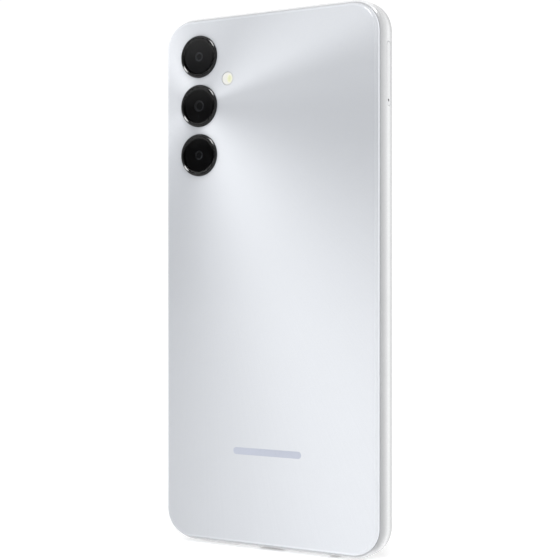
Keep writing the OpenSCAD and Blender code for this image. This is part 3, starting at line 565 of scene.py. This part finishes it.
def lathe(name, profile, x, z, look, body, *replaced, turns=96, closed=True, y=None):
    """Turns a profile of (radius, along) points, in metres, about the Y axis through x and z.
    Where y is given the axis is X instead, through y and z."""
    bm = bmesh.new()
    rings = []
    for r, along in profile:
        ring = []
        for i in range(turns if r > 1e-7 else 1):
            c, s = r * math.cos(2 * math.pi * i / turns), r * math.sin(2 * math.pi * i / turns)
            ring.append(bm.verts.new((x + c, along, z + s) if y is None else (x + along, y + c, z + s)))
        rings.append(ring)
    pairs = list(zip(rings, rings[1:])) + ([(rings[-1], rings[0])] if closed else [])
    for a, b in pairs:
        for i in range(turns):
            j = (i + 1) % turns
            corners = [a[i % len(a)], a[j % len(a)], b[j % len(b)], b[i % len(b)]]
            unique = list(dict.fromkeys(corners))
            if len(unique) > 2:
                bm.faces.new(unique)
    return finish_mesh(name, bm, look, body, *replaced)


# ---------------------------------------------------------------- rear cameras

lens_grey = speckled("lens_grey", (0.085, 0.087, 0.090), 0.10, 5000, 0.4)
lens_dark = speckled("lens_dark", (0.006, 0.006, 0.007), 0.2, 5000, 0.25, coat=0.4)
element = speckled("lens_element", (0.003, 0.004, 0.007), 0.2, 400, 0.08, spec=0.25)

RING_FLANGE = 0.7 * MM  # width of the flange under the cover
RING_SEAT = 1.4 * MM  # height of the seat that the glass rests on
RING_WALL = 0.72 * MM  # from the ring's outside in to the glass
RING_SHELF = 1.5 * MM  # from the ring's outside in to the seat's inner edge


def crown(radius, top, sag, steps):
    """The upper half of a slightly domed disc, from just inside its edge to its middle."""
    shares = [(1 - i / steps) * 0.97 for i in range(steps + 1)]
    return [(radius * share, top - sag * share ** 2) for share in shares]


for place, body, eye in (
    ("upper", "phone", 1.25 * MM), ("middle", "focus_barrel", 1.6 * MM), ("lower", "phone", 1.25 * MM)
):
    ring_low, ring_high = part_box(f"camera_ring_{place}")
    at = middle_of(f"camera_ring_{place}")
    base, top = ring_low.y, ring_high.y
    outer = (ring_high.x - ring_low.x) / 2 - RING_FLANGE
    profile = [
        (outer + RING_FLANGE, base), (outer + RING_FLANGE, base + 0.35 * MM), (outer, base + 0.35 * MM),
        (outer, top - 0.38 * MM), (outer - 0.03 * MM, top - 0.32 * MM),
        (outer - 0.29 * MM, top - 0.03 * MM), (outer - 0.34 * MM, top),
        (outer - 0.37 * MM, top), (outer - 0.41 * MM, top - 0.03 * MM),
        (outer - RING_WALL, top - 0.34 * MM), (outer - RING_WALL, base + RING_SEAT),
        (outer - RING_SHELF, base + RING_SEAT), (outer - RING_SHELF, base),
    ]
    lathe(f"ring_{place}", profile, at.x, at.z, ring_black, "phone", f"camera_ring_{place}")
    glass_low, glass_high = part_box(f"lens_glass_{place}")
    radius, bevel, sag = outer - RING_WALL - 0.02 * MM, 0.10 * MM, 0.09 * MM
    edge_y = glass_high.y - sag
    lathe(
        f"window_{place}",
        [(0, glass_low.y), (radius, glass_low.y), (radius, edge_y - bevel),
         (radius * 0.992, edge_y - bevel / 2)] + crown(radius, glass_high.y - 0.02 * MM, sag, 8),
        at.x, at.z, lens_glass, "phone", f"lens_glass_{place}", closed=False,
    )
    # Black print under the glass, open over the lens
    print_out, print_in = outer - RING_SHELF + 0.05 * MM, eye + 0.25 * MM
    print_high = glass_low.y - 0.01 * MM
    print_low = print_high - 0.03 * MM
    lathe(
        f"print_{place}",
        [(print_in, print_high), (print_out, print_high), (print_out, print_low), (print_in, print_low)],
        at.x, at.z, mask_black, "phone",
    )
    # Lens barrel: a grey nose ring, stepped baffles, and the front element down in the middle
    nose = glass_low.y - (0.38 if body == "focus_barrel" else 0.15) * MM
    deep = nose - 0.5 * MM
    lathe(
        f"lens_nose_{place}",
        [(eye * 1.28, deep), (eye * 1.28, nose - 0.04 * MM), (eye * 1.24, nose), (eye * 0.80, nose),
         (eye * 0.74, nose - 0.05 * MM), (eye * 0.74, deep)],
        at.x, at.z, lens_grey, body,
    )
    lathe(
        f"lens_baffle_{place}",
        [(eye * 0.74, nose - 0.06 * MM), (eye * 0.60, nose - 0.06 * MM), (eye * 0.60, nose - 0.12 * MM),
         (eye * 0.50, nose - 0.12 * MM), (eye * 0.50, deep), (eye * 0.74, deep)],
        at.x, at.z, lens_dark, body,
    )
    angles = [t * math.pi / 16 for t in range(8, -1, -1)]
    dome = [
        (eye * 0.50 * math.sin(a), nose - 0.10 * MM - 0.22 * MM * (1 - math.cos(a))) for a in angles
    ]
    lathe(f"lens_element_{place}", dome, at.x, at.z, element, body, closed=False)

# ---------------------------------------------------------------- flash

flash_low, flash_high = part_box("flash_lens")
flash = middle_of("flash_lens")
FLASH_RIM = 0.6 * MM  # width of the flange under the cover
flash_r = (flash_high.x - flash_low.x) / 2 - FLASH_RIM
flash_top = flash_high.y


def flash_face():
    """Frosted window: cream, with the phosphor showing through as a soft yellow-green patch."""
    m = Mat("flash_face").set(Specular_IOR_Level=0.5, Coat_Weight=0.5, Coat_Roughness=0.08)
    x, _, z = m.xyz()
    dx = m.math("DIVIDE", m.math("SUBTRACT", x, flash.x - 0.75 * MM), 1.05 * MM)
    dz = m.math("DIVIDE", m.math("SUBTRACT", z, flash.z - 0.05 * MM), 1.6 * MM)
    patch = m.length(dx, dz)
    out = m.length(m.math("SUBTRACT", x, flash.x), m.math("SUBTRACT", z, flash.z))
    lines = m.node("TexNoise")
    lines.inputs["Scale"].default_value = 2600
    m.link(m.coord, lines.inputs["Vector"])
    warm = m.ramp(
        m.math("ADD", patch, m.map(lines.outputs["Fac"], 0.3, 0.7, -0.08, 0.08)),
        [(0, srgb(224, 228, 186)), (0.35, srgb(229, 232, 194)), (0.75, srgb(241, 240, 217)),
         (1, srgb(236, 236, 230))],
    )
    rim = m.map(out, flash_r - 0.42 * MM, flash_r - 0.05 * MM, 0, 1, smooth=True)
    m.colour(m.mix(rim, warm, srgb(206, 206, 204)))
    m.rough(lines.outputs["Fac"], 0.25, 0.4)
    return m.m


shares = [(1 - i / 6) * 0.96 for i in range(7)]
flash_dome = [(flash_r * share, flash_top - 0.06 * MM * share ** 2) for share in shares]
flange_r, flange_y = flash_r + FLASH_RIM, flash_top - 0.95 * MM
lathe(
    "flash_window",
    [(0, flash_top - 0.9 * MM), (flange_r, flash_top - 1.3 * MM), (flange_r, flange_y),
     (flash_r, flash_top - 0.9 * MM), (flash_r, flash_top - 0.16 * MM),
     (flash_r - 0.03 * MM, flash_top - 0.09 * MM)] + flash_dome,
    flash.x, flash.z, flash_face(), "phone", "flash_lens", closed=False,
)

# ---------------------------------------------------------------- dark lining that stands in for the shade inside the card tray's pinhole

# Painted shade: a black tube in the pinhole's bore, in place of the shade inside it
shade_lining = (0.449, 0.12), (0.449, 0.99), (0.30, 0.99), (0.30, 0.9), (0.38, 0.9), (0.38, 0.12)
lathe(
    "pinhole_lining",
    [(r * MM, depth * MM) for r, depth in shade_lining],
    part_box("sim_tray")[0].x, HOLE[2], black_plastic, "sim_tray", turns=32, y=HOLE[1],
)

# ---------------------------------------------------------------- snap domes behind the keys

dome_low, dome_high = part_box("switch_domes")
tall, dome_y = dome_high.x - dome_low.x, middle_of("switch_domes").y
volume_at, power_at = middle_of("volume_key").z, middle_of("power_key").z
DOME_R = 0.9 * MM
arm = dome_high.z - DOME_R - volume_at  # from the volume key's middle to each of its domes
snap = [
    (0, 0), (DOME_R, 0), (DOME_R, 0.05 * MM), (0.78 * MM, 0.12 * MM), (0.66 * MM, 0.30 * MM),
    (0.52 * MM, 0.43 * MM), (0.30 * MM, 0.53 * MM), (0, tall),
]
for dome_name, at, joint, keep in (
    ("dome_volume_up", volume_at + arm, "volume_rock", 0.55),
    ("dome_volume_down", volume_at - arm, "volume_rock", 0.55),
    ("dome_power", power_at, "power_press", 0.5),
):
    dome_piece = lathe(
        dome_name, snap, dome_low.x, at, bronze, "phone", "switch_domes",
        turns=40, closed=False, y=dome_y,
    )
    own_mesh(dome_piece)

# ---------------------------------------------------------------- plain mark low on the back


def pill(name, x, z, width, height, y0, y1, look, body, steps=12):
    """A flat bar with round ends that lies in the XZ plane."""
    r = height / 2
    outline = []
    for i in range(steps + 1):
        a = -math.pi / 2 + math.pi * i / steps
        outline.append((x + width / 2 - r + r * math.cos(a), z + r * math.sin(a)))
    for i in range(steps + 1):
        a = math.pi / 2 + math.pi * i / steps
        outline.append((x - width / 2 + r + r * math.cos(a), z + r * math.sin(a)))
    bm = bmesh.new()
    low = [bm.verts.new((px, y0, pz)) for px, pz in outline]
    high = [bm.verts.new((px, y1, pz)) for px, pz in outline]
    bm.faces.new(low)
    bm.faces.new(high)
    for i in range(len(low)):
        j = (i + 1) % len(low)
        bm.faces.new((low[i], low[j], high[j], high[i]))
    return finish_mesh(name, bm, look, body)


back_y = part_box("back_cover")[1].y
mark_ink = speckled("mark_ink", srgb(188, 193, 207), 0.02, 6000, 0.3, coat=0.3)
pill(
    "back_mark", 0, 30.2 * MM, 24.4 * MM, 2.2 * MM, back_y - 0.05 * MM, back_y + 0.012 * MM,
    mark_ink, "phone",
)

# ---------------------------------------------------------------- floor

bm = bmesh.new()
bmesh.ops.create_grid(bm, x_segments=1, y_segments=1, size=3)
mesh = bpy.data.meshes.new("floor")
bm.to_mesh(mesh)
bm.free()
floor = bpy.data.objects.new("floor", mesh)
floor.location.z = -0.0002
paper = Mat("floor_white").set(
    Roughness=0.9, Specular_IOR_Level=0.1, Emission_Strength=0.36, Emission_Color=(1.0, 1.0, 1.0)
)
tone = paper.map(paper.noise(3), 0.3, 0.7, 0, 1)
paper.colour(paper.mix(tone, (0.90, 0.90, 0.90), (0.93, 0.93, 0.93)))
mesh.materials.append(paper.m)
bpy.context.scene.collection.objects.link(floor)
